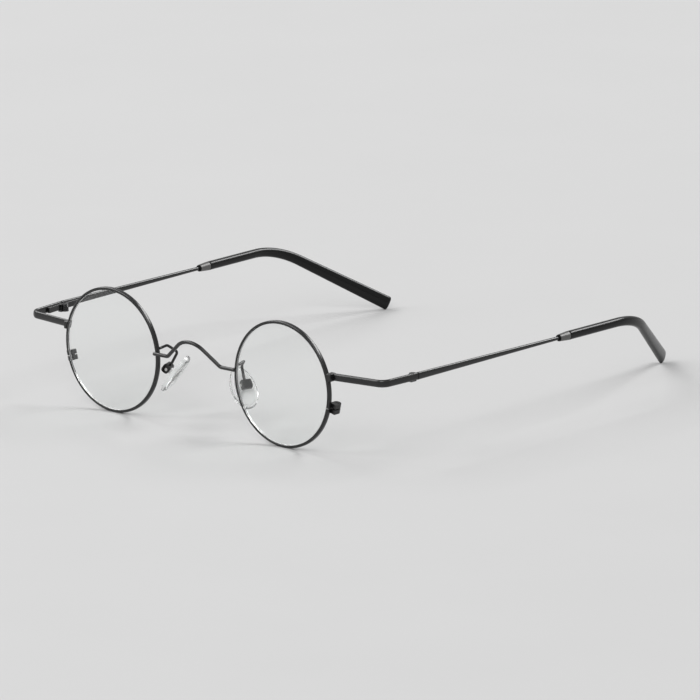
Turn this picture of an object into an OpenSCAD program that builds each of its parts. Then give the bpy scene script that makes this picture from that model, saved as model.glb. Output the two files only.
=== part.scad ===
// Round wire eyeglasses, standing open on their rims and temple tips.
// +X is the wearer's left, -Y the front, +Z up. Z is 0 where the rims and the tips rest.
// The left pieces are drawn and the right ones are their mirror image.

/* [Lenses and rims] */
// Diameter of a lens, with the ridge that sits in the rim
lens_d = 36; // [32:0.5:42]
// Space between the two lenses at the nose
lens_spacing = 31; // [28:0.5:34]
// Thickness of a lens
lens_t = 1.2; // [1:0.1:1.8]
// Radius of the lens's front curve
lens_curve_r = 130; // [90:5:300]
// Depth of the V groove in the rim, and height of the lens's ridge
groove_depth = 0.42; // [0.3:0.02:0.5]
// Metal left outside the groove
rim_wall = 0.4; // [0.35:0.05:0.8]
// Depth of the rim from front to back
rim_depth = 1.4; // [1.3:0.1:2]

/* [Rim locks] */
// Angle of the lock below the middle of the lens, on the outer side
lock_angle = 14; // [12:1:25]
// Width of a lock block, across the rim
lock_w = 2.3; // [2:0.1:3]
// Length of a lock block, behind the rim
lock_l = 3; // [2.6:0.1:4]
// Height of each of the two blocks
lock_h = 1.35; // [1.1:0.05:1.8]
// Slit between the two ends of the rim and between the two blocks
lock_slit = 0.3; // [0.2:0.05:0.5]
// Diameter of the lock screw
lock_screw_d = 1; // [0.8:0.1:1.2]

/* [Bridge] */
// Diameter of the bridge wire
bridge_d = 1.1; // [0.9:0.1:1.6]
// Height of the bridge's feet above the middle of the lenses
bridge_rise = 1.7; // [0:0.1:4]
// Length of each straight foot, from the edge of the lens
bridge_foot_l = 5.6; // [4:0.1:6.5]
// Slope of the bridge's flanks
bridge_slope = 40; // [30:1:45]
// Radius of the saddle over the nose
bridge_saddle_r = 8; // [5:0.1:9]
// Radius of the two lower bends
bridge_bend_r = 1.6; // [1:0.1:2.5]
// Forward lean of the saddle
bridge_lean = 16; // [0:1:25]

/* [Endpieces] */
// Width of the front, between the middles of the two corners
front_w = 138.5; // [134:0.5:146]
// Height of the flat band
band_h = 2.2; // [1.8:0.1:3]
// Thickness of the flat band
band_t = 1.1; // [0.9:0.1:1.4]
// Height of the band above the middle of the lenses
band_rise = 4.7; // [3:0.1:6]
// Backward sweep of the band from the rim to the corner
band_sweep = 7.3; // [0:0.1:10]
// Bend radius of the corner, at the middle of the band
corner_r = 2.8; // [1.1:0.1:3]
// Length of the band behind the corner
return_l = 12.8; // [11:0.1:16]
// Outward lean of the band behind the corner
return_splay = 4.8; // [0:0.1:6]
// Width of the lug that is soldered to the rim
lug_w = 1.2; // [1:0.1:2.5]
// Height of the lug
lug_h = 2.3; // [2.2:0.1:3.5]

/* [Hinges] */
// Outer diameter of the knuckles
knuckle_d = 2.1; // [2:0.1:2.8]
// Height of each of the three knuckles
knuckle_h = 0.72; // [0.6:0.02:0.9]
// Diameter of the hinge screw
hinge_screw_d = 1; // [0.8:0.1:1.2]
// Length of each hinge leaf
leaf_l = 5.2; // [4:0.1:6]
// Thickness of each hinge leaf
leaf_t = 0.7; // [0.5:0.05:0.9]
// Height of each hinge leaf
leaf_h = 1.6; // [1.5:0.1:2]
// Height of the band's middle above the middle of the hinge
hinge_drop = 0.5; // [0:0.05:0.6]

/* [Temples] */
// Length of a temple along its middle, from the hinge to the end of the tip
temple_l = 132; // [126:1:145]
// Height of the temple at the hinge
temple_h = 2.2; // [1.6:0.1:2.6]
// Thickness of the temple at the hinge
temple_t = 1.1; // [0.9:0.1:1.4]
// Diameter of the round core, from the ferrule to its end in the tip
core_d = 1.1; // [0.9:0.05:1.3]
// Length of the core inside the tip
core_l = 52; // [40:1:56]
// Outward lean of the temples
temple_splay = 0.7; // [0:0.1:3]
// Distance from the hinge to the start of the bend behind the ear
bend_start = 83; // [76:1:88]
// Radius of the bend behind the ear
bend_r = 24; // [20:1:45]
// Angle of the bend behind the ear
bend_angle = 41; // [25:1:45]
// Turn of that bend from straight down towards the head
bend_twist = 41; // [0:1:45]

/* [Ferrules and tips] */
// Distance from the hinge to the front of the ferrule
ferrule_start = 58.5; // [50:0.5:64]
// Length of the ferrule
ferrule_l = 4.5; // [3.6:0.1:7]
// Diameter of the ferrule at its front
ferrule_d = 2; // [1.8:0.1:2.3]
// Height of the tip where it meets the ferrule
tip_h = 2.6; // [2.4:0.1:3.2]
// Thickness of the tip where it meets the ferrule
tip_t = 2.4; // [2.2:0.1:3]
// Height of the paddle at the end of the tip
tip_end_h = 4.2; // [3.4:0.1:6]
// Thickness of the paddle at the end of the tip
tip_end_t = 2; // [1.8:0.1:2.6]

/* [Nose pads] */
// Length of a nose pad
pad_l = 13.4; // [11:0.1:15]
// Width of a nose pad
pad_w = 8.4; // [6:0.1:8.6]
// Thickness of a nose pad
pad_t = 1.8; // [1.6:0.1:2.4]
// Clear silicone left around the stiff core of the pad
pad_margin = 1; // [0.7:0.1:1.4]
// Lean of the pads towards each other at the top
pad_frontal = 38; // [20:1:40]
// Spread of the pads towards the back
pad_splay = 20; // [5:1:30]
// Height of a pad's middle above its screw, along the pad
pad_up = 0.3; // [0:0.1:1.5]
// Distance of the pad screws behind the front of the rims
pad_back = 4.8; // [4.6:0.1:7]
// Distance of the pad screws below the middle of the lenses
pad_drop = 3.6; // [1:0.1:5]
// Diameter of the pad arm wire
arm_d = 0.8; // [0.7:0.05:1.1]
// Bend radius of the pad arm
arm_bend_r = 0.9; // [0.7:0.05:1.1]
// Height of the pad arm's root above the middle of the lenses
arm_rise = 2.9; // [2:0.1:4]
// Further rise of the arm from its root to its first bend
arm_lift = 0.4; // [0:0.1:1.2]
// Distance from the pad screw up to the top bend of the arm
arm_stem_l = 5.8; // [5.5:0.1:7]
// Distance of that bend from the nose side, where the stem leans off the pad
arm_lean = 0.7; // [0.2:0.1:1.2]
// Diameter of the pad screw
pad_screw_d = 0.9; // [0.7:0.1:1]

/* [Clearances] */
// Gap left in a soldered or glued joint
solder_gap = 0.02; // [0.01:0.01:0.05]
// Gap between the lens's ridge and the groove
lens_gap = 0.03; // [0.02:0.01:0.06]
// Radial running clearance of a screw in the piece that turns on it
running_gap = 0.05; // [0.03:0.01:0.08]
// Radial gap of a screw in the piece it is threaded into
thread_gap = 0.01; // [0.01:0.005:0.02]
// Play between one knuckle and the next
knuckle_play = 0.03; // [0.02:0.01:0.06]
// Space between the knuckles and the band they stand beside
knuckle_stand = 0.15; // [0.1:0.01:0.3]
// Gap between the end of the band and the end of the temple
butt_gap = 0.12; // [0.1:0.01:0.3]
// Gap around the core wire in the ferrule and the tip
core_gap = 0.04; // [0.03:0.01:0.08]

/* [Hidden] */

metal = [0.13, 0.135, 0.145];
satin = [0.55, 0.56, 0.58];
steel = [0.75, 0.76, 0.78];
black = [0.05, 0.05, 0.055];
clear = [0.85, 0.88, 0.9, 0.35];
frosted = [0.93, 0.94, 0.93];

// rims and lenses
lens_r = lens_d / 2;
rim_in_r = lens_r - groove_depth;
rim_out_r = lens_r + lens_gap + rim_wall;
rim_chamfer = 0.12;
lens_x = lens_spacing / 2 + lens_r;
lens_z = rim_out_r;
lens_steps = 14;

// wires and bands
wire_n = 24;
bend_step = 9;

// lock screw
lock_screw_l = lock_slit + 2 * lock_h;

// bridge, from foot to foot
bridge_y = -bridge_d / 2 - solder_gap;
bridge_end_x = lens_x - sqrt(rim_in_r * rim_in_r - bridge_rise * bridge_rise);
bridge_bend_x = bridge_end_x - bridge_foot_l;
bridge_apex = bridge_bend_x * tan(bridge_slope);
bridge_peak = bridge_apex - bridge_saddle_r * (1 / cos(bridge_slope) - 1);

// endpiece, from the lug round the corner to the hinge
band_z = lens_z + band_rise;
lug_x = lens_x + sqrt(rim_out_r * rim_out_r - band_rise * band_rise) + lug_w;
lug_d = rim_depth + 1.25;
band_y = lug_d - band_t / 2 - 0.1;
corner = [front_w / 2, band_y + (front_w / 2 - lug_x) * tan(band_sweep), band_z];
butt = corner + return_l * [sin(return_splay), cos(return_splay), 0];
band_round = 0.4;

// hinge axis, beside the inner face of the band
axis_in = band_t / 2 + knuckle_stand + knuckle_d / 2;
hinge = butt - [axis_in, 0, hinge_drop];
leaf_start = knuckle_d / 2 + 0.25;
leaf_overlap = 0.4;
hinge_h = 3 * knuckle_h + 2 * knuckle_play;
hinge_head_d = knuckle_d - 0.7;
lock_head_d = lock_w - 0.7;
head_h = 0.35;

// temple, tip and the bend behind the ear
ferrule_end = ferrule_start + ferrule_l;
bend_len = bend_r * bend_angle * PI / 180;
bend_end = bend_start + bend_len;
core_end = ferrule_end + core_l;
core_n = 16;
tip_n = 20;
bend_rings = 8;
arm_e = 3.6;
tip_e = 2.3;
tip_round = 0.8;
tip_edge = 0.15;
core_reserve = 0.3;

// the temples lean down by the angle at which the ends of the tips touch the floor
low = lowest(tip_outer());
temple_pitch = asin(band_z / norm([low.y, low.z])) - atan2(-low.z, low.y);

// pad fittings, in a frame with X away from the nose, Y along the screw and Z up the pad
pad_pos = [lens_spacing / 2 + 0.1, pad_back, lens_z - pad_drop];
tab_r = pad_screw_d / 2 + running_gap + 0.3;
tab_w = 1.1;
box_wall = 0.4;
box_room = 0.18;
box_side_gap = 0.06;
box_h = 2 * (tab_r + box_room + box_wall);
box_w = tab_w + 2 * (box_side_gap + 0.75);
box_round = 0.8;
box_front = -0.95;
box_back = tab_r + box_room + box_wall;
pad_face = box_front - 1.2;
pad_head_h = 0.4;
core_plate_t = 0.8;
pad_n = 28;
arm_out = 0.1;
arm_foot_l = 0.9;
arm_stub_l = 0.8;
arm_shift = 0.3;
screw_tail = 0.3;
slot_w = 0.25;
slot_depth = 0.18;

// the part stands with the middle of its outline over the origin
front_y = min(bridge_y - bridge_d / 2 - bridge_peak * sin(bridge_lean), lens_front_y());
back_y = max([for (r = tip_outer()) for (p = r) temple_place(p).y]);
mid_y = (front_y + back_y) / 2;

function unit(v) = v / norm(v);
function sgn_pow(v, e) = sign(v) * pow(abs(v), e);
function lowest(rings) = let(all = [for (r = rings) each r], z = min([for (p = all) p.z]))
    [for (p = all) if (p.z == z) p][0];

// a rotation about X, then Y, then Z, of one vector
function turn_x(v, a) = [v.x, v.y * cos(a) - v.z * sin(a), v.y * sin(a) + v.z * cos(a)];
function turn_y(v, a) = [v.x * cos(a) + v.z * sin(a), v.y, v.z * cos(a) - v.x * sin(a)];
function turn_z(v, a) = [v.x * cos(a) - v.y * sin(a), v.x * sin(a) + v.y * cos(a), v.z];

function temple_place(p) = butt + turn_z(turn_x(p, -temple_pitch), -temple_splay);
function pad_place(p) = pad_pos + turn_z(turn_y(p, -pad_frontal), -pad_splay);

// height of the lens's curve at a radius, measured back from its middle
function sag(r) = lens_curve_r - sqrt(lens_curve_r * lens_curve_r - r * r);
function lens_front_y() = rim_depth / 2 - lens_t / 2 - sag(rim_in_r);

// the temple's middle line: straight, an arc of bend_r, straight again
function bend_at(s) = min(max((s - bend_start) / bend_len, 0), 1) * bend_angle;
function bend_point(s) = let(a = bend_at(s), rest = max(s - bend_end, 0))
    [min(s, bend_start) + bend_r * sin(a) + rest * cos(bend_angle),
     bend_r * (1 - cos(a)) + rest * sin(bend_angle)];

// a closed outline of height h and thickness t across the middle line at s
function ring(s, h, t, e, n) =
    let(a = bend_at(s), p = bend_point(s),
        inward = [-sin(bend_twist), 0, -cos(bend_twist)],
        across = [-cos(bend_twist), 0, sin(bend_twist)],
        tilted = inward * cos(a) - [0, sin(a), 0])
    [for (i = [0:n - 1]) let(f = 360 * i / n,
        w = [t / 2 * sgn_pow(cos(f), 2 / e), 0, h / 2 * sgn_pow(sin(f), 2 / e)])
        [0, p[0], 0] + p[1] * inward + (w * inward) * tilted + (w * across) * across];

function bend_stops() = [for (i = [0:bend_rings]) bend_start + bend_len * i / bend_rings];
function core_stops() = [for (s = bend_stops()) if (s < core_end - 1) s];
function grow(s) = min(max((s - bend_start) / (temple_l - bend_start), 0), 1);
function tip_ring(s, inset) = ring(s, tip_h + (tip_end_h - tip_h) * grow(s) - 2 * inset,
    tip_t + (tip_end_t - tip_t) * grow(s) - 2 * inset, tip_e, tip_n);

// rings of the tip's skin, from the ferrule to its end, whose edge is rounded
function tip_outer() = concat(
    [tip_ring(ferrule_end + solder_gap, tip_edge), tip_ring(ferrule_end + solder_gap + tip_edge, 0)],
    [for (s = bend_stops()) tip_ring(s, 0)],
    [tip_ring((bend_end + temple_l) / 2, 0)],
    [for (a = [0:22.5:90])
        tip_ring(temple_l - tip_round * (1 - sin(a)), tip_round * (1 - cos(a)))]);

// rings of the channel for the core, from its blind end to the ferrule
function tip_channel() = let(d = core_d + 2 * core_gap,
    stops = concat([ferrule_end + solder_gap], core_stops(), [core_end + core_reserve]))
    [for (i = [len(stops) - 1:-1:0]) ring(stops[i], d, d, 2, tip_n)];

// egg outline of the pads, a little narrower at the top, on the plane at x
function egg(l, w, x) = [for (i = [0:pad_n - 1]) let(f = 360 * i / pad_n)
    [x, w / 2 * cos(f) * (1 - 0.12 * sin(f)), pad_up + l / 2 * sin(f)]];

// outlines for bars: a circle, and a rectangle with rounded corners
function round_outline(d, n) = [for (i = [0:n - 1]) d / 2 * [cos(360 * i / n), sin(360 * i / n)]];
function soft_outline(w, h, r, n) = [for (q = [0:3], j = [0:n]) let(a = 90 * (q + j / n))
    [sign(cos(90 * q + 45)) * (w / 2 - r) + r * cos(a),
     sign(sin(90 * q + 45)) * (h / 2 - r) + r * sin(a)]];

// a vector spun about an axis, and one carried through the first bends of a bar
function spun(v, axis, a) = v * cos(a) + cross(axis, v) * sin(a)
    + axis * ((axis * v) * (1 - cos(a)));
function carried(v, axis, turn, i) = i < 0 ? v : spun(carried(v, axis, turn, i - 1), axis[i], turn[i]);

// an outline stood across a direction, its Y along up
function section(at, dir, up, outline) = let(y = unit(up - dir * (dir * up)), x = cross(dir, y))
    [for (p = outline) at + p.x * x + p.y * y];

module place(origin, x, y, z)
    multmatrix([[x.x, y.x, z.x, origin.x], [x.y, y.y, z.y, origin.y],
        [x.z, y.z, z.z, origin.z], [0, 0, 0, 1]]) children();

// a closed skin over a row of outlines with the same number of points
module skin(rings) {
    n = len(rings[0]);
    last = len(rings) - 1;
    polyhedron([for (r = rings) each r], concat(
        [[for (j = [n - 1:-1:0]) j]],
        [for (i = [0:last - 1], j = [0:n - 1]) let(k = (j + 1) % n)
            each [[i * n + j, i * n + k, (i + 1) * n + j],
                [i * n + k, (i + 1) * n + k, (i + 1) * n + j]]],
        [[for (j = [0:n - 1]) last * n + j]]));
}

// an outline swept along a path, which is bent with a radius at each inner corner
module bar(path, radii, outline, up) {
    n = len(path);
    dir = [for (i = [0:n - 2]) unit(path[i + 1] - path[i])];
    axis = [for (i = [0:n - 3]) unit(cross(dir[i], dir[i + 1]))];
    turn = [for (i = [0:n - 3]) acos(dir[i] * dir[i + 1])];
    trim = [for (i = [0:n - 3]) radii[i] * tan(turn[i] / 2)];
    skin(concat(
        [section(path[0], dir[0], up, outline)],
        [for (i = [0:n - 3]) let(out = cross(dir[i], axis[i]), before = carried(up, axis, turn, i - 1),
            centre = path[i + 1] - trim[i] * dir[i] - radii[i] * out, k = ceil(turn[i] / bend_step))
            for (j = [0:k]) let(a = turn[i] * j / k)
                section(centre + radii[i] * (out * cos(a) + dir[i] * sin(a)),
                    dir[i] * cos(a) - out * sin(a), spun(before, axis[i], a), outline)],
        [section(path[n - 1], dir[n - 2], carried(up, axis, turn, n - 3), outline)]));
}

module stand() translate([0, -mid_y, 0]) children();

module right() mirror([1, 0, 0]) children();

// the frame of the left lens: X outwards, Y down, Z backwards from the rim's front
module at_lens() stand() translate([lens_x, 0, lens_z]) rotate([-90, 0, 0]) children();

module at_lock() at_lens() rotate(lock_angle) children();

module at_hinge(splay) stand() translate(hinge) rotate(-splay) children();

module at_temple() stand() translate(butt) rotate([-temple_pitch, 0, -temple_splay]) children();

module at_pad() stand() translate(pad_pos) rotate([0, -pad_frontal, -pad_splay]) children();

// a slotted screw along Z, the top of its head at z = 0
module slotted_screw(d, length, head_d, head_h) {
    translate([0, 0, -length]) cylinder(d = d, h = length - head_h, $fn = 48);
    difference() {
        translate([0, 0, -head_h]) cylinder(d = head_d, h = head_h, $fn = 48);
        translate([-head_d, -slot_w / 2, -slot_depth]) cube([2 * head_d, slot_w, 1]);
    }
}

// the hole for such a screw, with a radial gap round the shank and the sunk head
module screw_hole(d, length, head_d, gap) {
    translate([0, 0, -length - 1]) cylinder(r = d / 2 + gap, h = length + 2, $fn = 48);
    translate([0, 0, -head_h]) cylinder(r = head_d / 2 + thread_gap, h = 1, $fn = 48);
}

module rim() {
    slit = 2 * asin(lock_slit / 2 / rim_in_r);
    groove_r = lens_r + lens_gap;
    half = groove_depth + lens_gap;
    mid = rim_depth / 2;
    color(metal) at_lock() rotate(slit / 2) rotate_extrude(angle = 360 - slit, $fn = 180)
        polygon([[rim_in_r, 0], [rim_out_r - rim_chamfer, 0], [rim_out_r, rim_chamfer],
            [rim_out_r, rim_depth - rim_chamfer], [rim_out_r - rim_chamfer, rim_depth],
            [rim_in_r, rim_depth], [rim_in_r, mid + half], [groove_r, mid],
            [rim_in_r, mid - half]]);
}

module lens() {
    edge_r = rim_in_r - lens_gap;
    mid = rim_depth / 2;
    drop = sag(edge_r);
    front = [for (i = [0:lens_steps]) let(r = edge_r * i / lens_steps)
        [r, mid - lens_t / 2 - drop + sag(r)]];
    back = [for (i = [lens_steps:-1:0]) let(r = edge_r * i / lens_steps)
        [r, mid + lens_t / 2 - drop + sag(r)]];
    ridge = [[edge_r, mid - groove_depth], [lens_r, mid], [edge_r, mid + groove_depth]];
    color(clear) at_lens() rotate_extrude($fn = 180) polygon(concat(front, ridge, back));
}

module bridge() {
    foot = [bridge_end_x, bridge_y, lens_z + bridge_rise];
    bend = [bridge_bend_x, bridge_y, lens_z + bridge_rise];
    apex = [0, bridge_y - bridge_apex * sin(bridge_lean),
        bend.z + bridge_apex * cos(bridge_lean)];
    flip = [[-1, 0, 0], [0, 1, 0], [0, 0, 1]];
    color(metal) stand() bar([foot, bend, apex, flip * bend, flip * foot],
        [bridge_bend_r, bridge_saddle_r, bridge_bend_r], round_outline(bridge_d, wire_n), [0, 1, 0]);
}

// outline of a lock block in the lock's frame: a square root and a round end about the screw
module lock_outline() {
    stem = lock_l - lock_w / 2;
    translate([rim_in_r, 0]) square([lock_w, stem]);
    translate([rim_in_r + lock_w / 2, stem]) circle(d = lock_w, $fn = 48);
}

// the lock's frame turned so that Z runs up along the rim, from the slit
module at_lock_screw() at_lock() translate([0, 0, rim_depth + solder_gap])
    rotate([90, 0, 0]) children();

// the top of the lock screw, in that frame
module at_lock_top()
    translate([rim_in_r + lock_w / 2, lock_l - lock_w / 2, lock_slit / 2 + lock_h]) children();

module lock_upper() {
    color(metal) at_lock_screw() difference() {
        translate([0, 0, lock_slit / 2]) linear_extrude(lock_h) lock_outline();
        at_lock_top() screw_hole(lock_screw_d, lock_screw_l, lock_head_d, running_gap);
    }
}

module lock_lower() {
    color(metal) at_lock_screw() difference() {
        translate([0, 0, -lock_slit / 2 - lock_h]) linear_extrude(lock_h) lock_outline();
        translate([0, 0, -lock_screw_l]) at_lock_top()
            cylinder(r = lock_screw_d / 2 + thread_gap, h = lock_screw_l, $fn = 48);
    }
}

module lock_screw() {
    color(steel) at_lock_screw() at_lock_top()
        slotted_screw(lock_screw_d, lock_screw_l - 0.1, lock_head_d, head_h);
}

module endpiece() {
    start = [lug_x - lug_w / 2, band_y - lug_w / 2 * tan(band_sweep), band_z];
    finish = butt - butt_gap / 2 * [sin(return_splay), cos(return_splay), 0];
    color(metal) {
        stand() bar([start, corner, finish], [corner_r],
            soft_outline(band_t, band_h, band_round, 3), [0, 0, 1]);
        difference() {
            stand() translate([lug_x - lug_w - 1, 0, band_z - lug_h / 2])
                cube([lug_w + 1, lug_d, lug_h]);
            at_lens() translate([0, 0, -1])
                cylinder(r = rim_out_r + solder_gap, h = lug_d + 2, $fn = 180);
        }
    }
}

// a knuckle and the web that joins it to its leaf, which lies towards `way` along Y
module knuckle(level, way, reach, bore_r) {
    z = (level - 1) * (knuckle_h + knuckle_play) - knuckle_h / 2;
    difference() {
        union() {
            translate([0, 0, z]) cylinder(d = knuckle_d, h = knuckle_h, $fn = 72);
            translate([0, min(0, way * (leaf_start + leaf_overlap)), z])
                cube([reach, leaf_start + leaf_overlap, knuckle_h]);
        }
        translate([0, 0, z - 1]) cylinder(r = bore_r, h = knuckle_h + 2, $fn = 72);
    }
}

// a leaf on the inner face of a band at distance reach from the axis
module leaf(way, reach) {
    translate([reach - leaf_t, min(way * leaf_start, way * (leaf_start + leaf_l)),
        hinge_drop / 2 - leaf_h / 2]) cube([leaf_t, leaf_l, leaf_h]);
}

module hinge_front() {
    reach = axis_in * cos(return_splay) - band_t / 2 - solder_gap;
    color(metal) at_hinge(return_splay) {
        leaf(-1, reach);
        knuckle(0, -1, reach, hinge_screw_d / 2 + thread_gap);
        difference() {
            knuckle(2, -1, reach, hinge_screw_d / 2 + thread_gap);
            translate([0, 0, hinge_h / 2])
                screw_hole(hinge_screw_d, hinge_h, hinge_head_d, thread_gap);
        }
    }
}

module hinge_rear() {
    reach = axis_in * cos(temple_splay) - temple_t / 2 - solder_gap;
    color(metal) at_hinge(temple_splay) {
        leaf(1, reach);
        knuckle(1, 1, reach, hinge_screw_d / 2 + running_gap);
    }
}

module hinge_screw() {
    color(steel) at_hinge(0) translate([0, 0, hinge_h / 2])
        slotted_screw(hinge_screw_d, hinge_h, hinge_head_d, head_h);
}

module temple() {
    color(metal) at_temple() skin(concat(
        [ring(butt_gap / 2, temple_h, temple_t, arm_e, core_n),
         ring(ferrule_start - 1, core_d, core_d, 2, core_n)],
        [for (s = core_stops()) ring(s, core_d, core_d, 2, core_n)],
        [ring(core_end, core_d, core_d, 2, core_n)]));
}

module ferrule() {
    bore = core_d / 2 + core_gap;
    back = tip_t / 2 + 0.1;
    color(satin) at_temple() translate([0, ferrule_start, 0]) rotate([-90, 0, 0])
        rotate_extrude($fn = 64) polygon([[bore, 0], [ferrule_d / 2 - 0.25, 0],
            [ferrule_d / 2, 0.4], [ferrule_d / 2 + 0.05, 0.9], [back - 0.02, ferrule_l - 0.6],
            [back, ferrule_l - 0.2], [back - 0.2, ferrule_l], [bore, ferrule_l]]);
}

module tip() {
    color(black) at_temple() skin(concat(tip_channel(), tip_outer()));
}

// the wire leaves the rim's back, turns up and in, then drops to the top of the pad box
module pad_arm() {
    root_x = lens_x - sqrt(pow((rim_in_r + rim_out_r) / 2, 2) - arm_rise * arm_rise);
    root = [root_x, rim_depth + solder_gap, lens_z + arm_rise];
    stub = root + [0, arm_stub_l, 0];
    knee = [root_x - arm_shift, pad_back - 0.3, root.z + arm_lift];
    top = pad_place([arm_lean, 0.3, arm_stem_l]);
    low = pad_place([arm_out, 0, box_h / 2 + arm_foot_l]);
    foot = pad_place([arm_out, 0, box_h / 2 + solder_gap]);
    color(metal) stand() bar([root, stub, knee, top, low, foot],
        [for (i = [0:3]) arm_bend_r], round_outline(arm_d, wire_n), [0, 0, 1]);
}

// a small cup that holds the pad's tab, open towards the pad
module pad_box() {
    depth = box_back - box_front;
    color(metal) at_pad() difference() {
        place([(box_front + box_back) / 2, box_w / 2, 0], [1, 0, 0], [0, 0, 1], [0, -1, 0])
            linear_extrude(box_w) polygon(soft_outline(depth, box_h, box_round, 5));
        translate([box_front - 1, -tab_w / 2 - box_side_gap, -box_h / 2 + box_wall])
            cube([depth + 1 - box_wall, tab_w + 2 * box_side_gap, box_h - 2 * box_wall]);
        rotate([90, 0, 0]) cylinder(r = pad_screw_d / 2 + thread_gap, h = 2 * box_w,
            center = true, $fn = 48);
    }
}

module pad_core() {
    color(frosted) at_pad() difference() {
        union() {
            place([pad_face - core_plate_t, 0, 0], [0, 1, 0], [0, 0, 1], [1, 0, 0])
                linear_extrude(core_plate_t) polygon([for (p = egg(pad_l - 2 * pad_margin,
                    pad_w - 2 * pad_margin, 0)) [p.y, p.z]]);
            translate([pad_face - 0.2, -tab_w / 2, -tab_r])
                cube([0.2 - pad_face, tab_w, 2 * tab_r]);
            rotate([90, 0, 0]) cylinder(r = tab_r, h = tab_w, center = true, $fn = 64);
        }
        rotate([90, 0, 0]) cylinder(r = pad_screw_d / 2 + running_gap, h = 2 * tab_w,
            center = true, $fn = 48);
    }
}

// the silicone wraps the front and edge of the core, open at the back
module nose_pad() {
    pocket = 2 * (pad_margin - solder_gap);
    color(clear) at_pad() skin([
        egg(pad_l - pocket, pad_w - pocket, pad_face - core_plate_t - solder_gap),
        egg(pad_l - pocket, pad_w - pocket, pad_face),
        egg(pad_l - 0.5, pad_w - 0.5, pad_face),
        egg(pad_l - 0.1, pad_w - 0.1, pad_face - 0.2),
        egg(pad_l, pad_w, pad_face - 0.45),
        egg(pad_l - 0.4, pad_w - 0.4, pad_face - 0.55 * pad_t),
        egg(pad_l - 1.6, pad_w - 1.6, pad_face - 0.8 * pad_t),
        egg(pad_l - 4.2, pad_w - 4, pad_face - 0.95 * pad_t),
        egg(pad_l - 8, 0.3 * pad_w - 0.9, pad_face - pad_t)]);
}

module pad_screw() {
    color(steel) at_pad() translate([0, box_w / 2, 0]) rotate([-90, 0, 0])
        translate([0, 0, pad_head_h]) slotted_screw(pad_screw_d,
            box_w + screw_tail + pad_head_h, pad_screw_d + 0.7, pad_head_h);
}

rim();  // rim_left
right() rim();  // rim_right
lens();  // lens_left
right() lens();  // lens_right
bridge();
lock_upper();  // lock_upper_left
right() lock_upper();  // lock_upper_right
lock_lower();  // lock_lower_left
right() lock_lower();  // lock_lower_right
lock_screw();  // lock_screw_left
right() lock_screw();  // lock_screw_right
endpiece();  // endpiece_left
right() endpiece();  // endpiece_right
hinge_front();  // hinge_front_left
right() hinge_front();  // hinge_front_right
hinge_rear();  // hinge_rear_left
right() hinge_rear();  // hinge_rear_right
hinge_screw();  // hinge_screw_left
right() hinge_screw();  // hinge_screw_right
temple();  // temple_left
right() temple();  // temple_right
ferrule();  // ferrule_left
right() ferrule();  // ferrule_right
tip();  // tip_left
right() tip();  // tip_right
pad_arm();  // pad_arm_left
right() pad_arm();  // pad_arm_right
pad_box();  // pad_box_left
right() pad_box();  // pad_box_right
pad_core();  // pad_core_left
right() pad_core();  // pad_core_right
nose_pad();  // nose_pad_left
right() nose_pad();  // nose_pad_right
pad_screw();  // pad_screw_left
right() pad_screw();  // pad_screw_right
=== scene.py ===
# Looks of the round wire eyeglasses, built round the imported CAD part.
# Sizes are in millimetres in the part's own design frame, where the rims' front faces lie at y = 0.
import math

import bpy
import numpy as np
from mathutils import Matrix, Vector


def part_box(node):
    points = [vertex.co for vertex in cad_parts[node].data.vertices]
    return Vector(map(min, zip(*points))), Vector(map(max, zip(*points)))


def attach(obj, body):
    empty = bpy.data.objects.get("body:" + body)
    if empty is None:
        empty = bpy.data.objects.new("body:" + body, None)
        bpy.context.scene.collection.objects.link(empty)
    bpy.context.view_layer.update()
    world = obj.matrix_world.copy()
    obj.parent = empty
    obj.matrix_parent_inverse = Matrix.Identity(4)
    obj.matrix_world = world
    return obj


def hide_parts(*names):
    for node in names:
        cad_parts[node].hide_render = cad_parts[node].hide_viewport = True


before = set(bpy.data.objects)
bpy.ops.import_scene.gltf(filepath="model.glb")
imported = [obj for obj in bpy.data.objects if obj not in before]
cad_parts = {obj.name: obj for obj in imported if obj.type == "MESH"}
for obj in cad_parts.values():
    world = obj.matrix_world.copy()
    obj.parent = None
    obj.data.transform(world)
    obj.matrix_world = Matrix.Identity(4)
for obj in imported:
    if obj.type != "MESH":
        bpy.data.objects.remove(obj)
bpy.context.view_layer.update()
print("frame loaded")

mm = 0.001
sides = {"left": 1, "right": -1}
rimLow, rimHigh = (np.array(corner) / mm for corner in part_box("rim_left"))
lensLow, lensHigh = (np.array(corner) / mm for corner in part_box("lens_left"))
originY = rimLow[1]  # where the design frame's y = 0 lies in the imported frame
lensX, lensZ = (rimLow[0] + rimHigh[0]) / 2, (rimLow[2] + rimHigh[2]) / 2
rimOuterR, rimDepth = (rimHigh[2] - rimLow[2]) / 2, rimHigh[1] - rimLow[1]
lensR = (lensHigh[2] - lensLow[2]) / 2
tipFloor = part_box("tip_left")[0].z / mm


# a number socket of a shader, with which sums are written as with a number
class Value:
    def __init__(self, nodes, socket):
        self.nodes, self.socket = nodes, socket

    def maths(self, operation, first, second):
        return self.nodes.node("Math", {"operation": operation}, {0: first, 1: second})

    def __add__(self, other):
        return self.maths("ADD", self, other)

    def __sub__(self, other):
        return self.maths("SUBTRACT", self, other)

    def __rsub__(self, other):
        return self.maths("SUBTRACT", other, self)

    def __mul__(self, other):
        return self.maths("MULTIPLY", self, other)

    __radd__, __rmul__ = __add__, __mul__


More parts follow.
